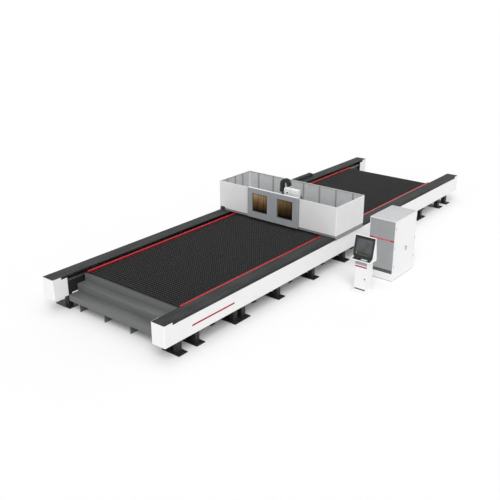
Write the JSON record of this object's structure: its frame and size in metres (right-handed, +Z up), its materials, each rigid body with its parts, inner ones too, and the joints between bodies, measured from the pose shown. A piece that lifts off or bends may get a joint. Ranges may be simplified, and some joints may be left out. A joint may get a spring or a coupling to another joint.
{
  "type": "hybrid laser cutting machine",
  "caption": "Gantry laser cutting machine: long floor rails, slat bed with entry steps, travelling enclosed gantry with head and doors, separate console and source cabinet.",
  "frame": {"origin": "on the floor under the middle of the whole machine's box", "axes": "+X along the rails from the entry steps to the far end, +Y from the console side across the bed, +Z up"},
  "size_m": [16.4, 6.69, 2.441],
  "materials": {
    "white_paint": "satin powder coat",
    "cover_dark": "textured powder coat",
    "frame_dark": "semi-gloss paint",
    "steel_bright": "ground",
    "steel_dark": "oxidised mild steel",
    "guard_red": "satin paint",
    "step_grey": "textured paint",
    "shell_grey": "satin powder coat",
    "skirt_grey": "satin powder coat",
    "door_grey": "satin powder coat",
    "amber_glass": "laser safety glazing",
    "machined": "machined",
    "drive_black": "satin",
    "chain_black": "moulded",
    "head_alu": "anodised",
    "screen": "gloss",
    "keypad": "matte",
    "cabinet_front": "textured paint",
    "handle_black": "matte"
  },
  "bodies": {
    "bed_and_rails": {"near_rail_beam": "frame_dark", "far_rail_beam": "frame_dark", "near_side_cladding": "white_paint", "far_side_cladding": "white_paint", "front_rail_caps": "white_paint", "rear_rail_caps": "white_paint", "near_rail_cover": "cover_dark", "far_rail_cover": "cover_dark", "near_legs": "frame_dark", "far_legs": "frame_dark", "linear_guides": "steel_bright", "gear_racks": "steel_bright", "bed_frame": "frame_dark", "slats": "steel_dark", "slat_bars": "steel_dark", "bed_guards": "guard_red", "rear_end_plate": "step_grey", "scrap_trays": "steel_dark", "entry_steps": "step_grey", "x_chain_lower_run": "chain_black", "console_pedestal": "white_paint", "console_hood": "white_paint", "console_screen": "screen", "console_keypad": "keypad", "cabinet_carcass": "white_paint", "cabinet_front_panel": "cabinet_front"},
    "gantry": {"near_end_carriage": "frame_dark", "far_end_carriage": "frame_dark", "guide_blocks": "steel_bright", "cross_beam": "shell_grey", "cross_guides_and_rack": "steel_bright", "x_drives": "drive_black", "near_enclosure_panel": "white_paint", "far_enclosure_panel": "white_paint", "back_enclosure_panel": "white_paint", "skirt": "skirt_grey", "door_frame": "shell_grey", "x_chain_upper_run": "chain_black"},
    "near_pinion": {"near_x_pinion": "steel_bright"},
    "far_pinion": {"far_x_pinion": "steel_bright"},
    "far_door": {"far_door_leaf": "door_grey", "far_door_window": "amber_glass"},
    "near_door": {"near_door_leaf": "door_grey", "near_door_window": "amber_glass"},
    "cross_carriage": {"cross_carriage_plate": "machined", "cross_guide_blocks": "steel_bright", "y_drive": "drive_black", "z_chain_fixed_half": "chain_black"},
    "cross_pinion": {"y_pinion": "steel_bright"},
    "head": {"z_slide": "machined", "head_housing": "shell_grey", "cutting_head": "head_alu", "z_chain_moving_half": "chain_black"},
    "pedestal_door": {"console_door": "white_paint"},
    "pedestal_knob": {"console_door_knob": "handle_black"},
    "source_front_door": {"cabinet_front_door": "white_paint"},
    "source_rear_door": {"cabinet_rear_door": "white_paint"},
    "source_handle": {"cabinet_handle": "handle_black"}
  },
  "joints": [
    {"name": "gantry_travel", "type": "slide", "parent": "bed_and_rails", "child": "gantry", "axis": [1, 0, 0], "range_m": [-6.5, 7]},
    {"name": "near_pinion_turn", "type": "hinge", "parent": "gantry", "child": "near_pinion", "pos_m": [0.28, -0.9907, 0.85], "axis": [0, 0, 1], "continuous": true},
    {"name": "far_pinion_turn", "type": "hinge", "parent": "gantry", "child": "far_pinion", "pos_m": [0.28, 2.7107, 0.85], "axis": [0, 0, 1], "continuous": true},
    {"name": "cross_travel", "type": "slide", "parent": "gantry", "child": "cross_carriage", "axis": [0, 1, 0], "range_m": [-1.15, 1.85]},
    {"name": "cross_pinion_turn", "type": "hinge", "parent": "cross_carriage", "child": "cross_pinion", "pos_m": [-0.32, 0.77, 1.3633], "axis": [1, 0, 0], "continuous": true},
    {"name": "head_lift", "type": "slide", "parent": "cross_carriage", "child": "head", "axis": [0, 0, 1], "range_m": [-0.14, 0.16], "deforming": ["z_chain_fixed_half"]},
    {"name": "far_door_swing", "type": "hinge", "parent": "gantry", "child": "far_door", "pos_m": [-0.859, 1.921, 1.565], "axis": [0, 0, -1], "range_deg": [0, 90]},
    {"name": "near_door_swing", "type": "hinge", "parent": "gantry", "child": "near_door", "pos_m": [-0.859, -0.101, 1.565], "axis": [0, 0, 1], "range_deg": [0, 90]},
    {"name": "pedestal_door_swing", "type": "hinge", "parent": "bed_and_rails", "child": "pedestal_door", "pos_m": [-1.74, -2.722, 0.432], "axis": [0, 0, -1], "range_deg": [0, 110]},
    {"name": "pedestal_knob_turn", "type": "hinge", "parent": "pedestal_door", "child": "pedestal_knob", "pos_m": [-1.74, -3.06, 0.43], "axis": [1, 0, 0], "range_deg": [0, 90]},
    {"name": "source_front_door_swing", "type": "hinge", "parent": "bed_and_rails", "child": "source_front_door", "pos_m": [-0.522, -3.317, 1.06], "axis": [0, 0, -1], "range_deg": [0, 110]},
    {"name": "source_rear_door_swing", "type": "hinge", "parent": "bed_and_rails", "child": "source_rear_door", "pos_m": [0.756, -3.317, 1.06], "axis": [0, 0, 1], "range_deg": [0, 110]},
    {"name": "source_handle_turn", "type": "hinge", "parent": "source_rear_door", "child": "source_handle", "pos_m": [0.177, -3.317, 0.933], "axis": [0, 1, 0], "range_deg": [0, 90]}
  ],
  "couplings": [
    {"joint": "near_pinion_turn", "follows": "gantry_travel", "rad_per_m": -23.809},
    {"joint": "far_pinion_turn", "follows": "gantry_travel", "rad_per_m": 23.809},
    {"joint": "cross_pinion_turn", "follows": "cross_travel", "rad_per_m": -33.333}
  ]
}
